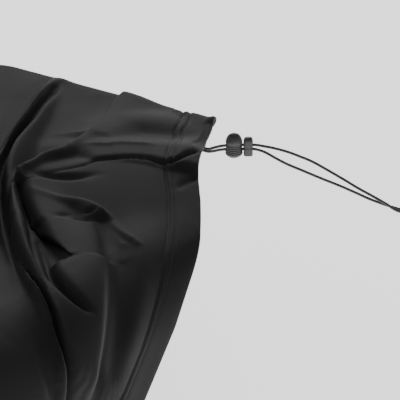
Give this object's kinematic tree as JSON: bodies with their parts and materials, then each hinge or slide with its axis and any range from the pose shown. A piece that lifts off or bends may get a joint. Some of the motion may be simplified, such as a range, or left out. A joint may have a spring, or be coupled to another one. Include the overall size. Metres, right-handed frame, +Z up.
{
  "type": "fitted stretch piano dust cover with drawcord hem",
  "caption": "Black stretch-knit fitted cover for a long keyboard instrument, near corner pushed back over the top in folds, drawcord and cord lock at the hem.",
  "frame": {"origin": "under the middle of the cover's top, where the instrument's flat top bears on it", "axes": "+X along the cover towards the end with the pushed-back corner, +Y from the player's side to the back, +Z up"},
  "size_m": [1.385, 0.5335, 0.187],
  "materials": {
    "knit": "smooth fine stretch knit, matt black with a soft sheen",
    "cord": "smooth round black polyester cord",
    "nylon": "moulded black nylon, slightly satin",
    "steel": "bright spring steel"
  },
  "bodies": {
    "root": {"cover": "knit", "strand_upper": "cord", "strand_lower": "cord", "cord_knot": "cord", "lock_body": "nylon", "lock_plunger": "nylon", "lock_spring": "steel"}
  },
  "joints": []
}
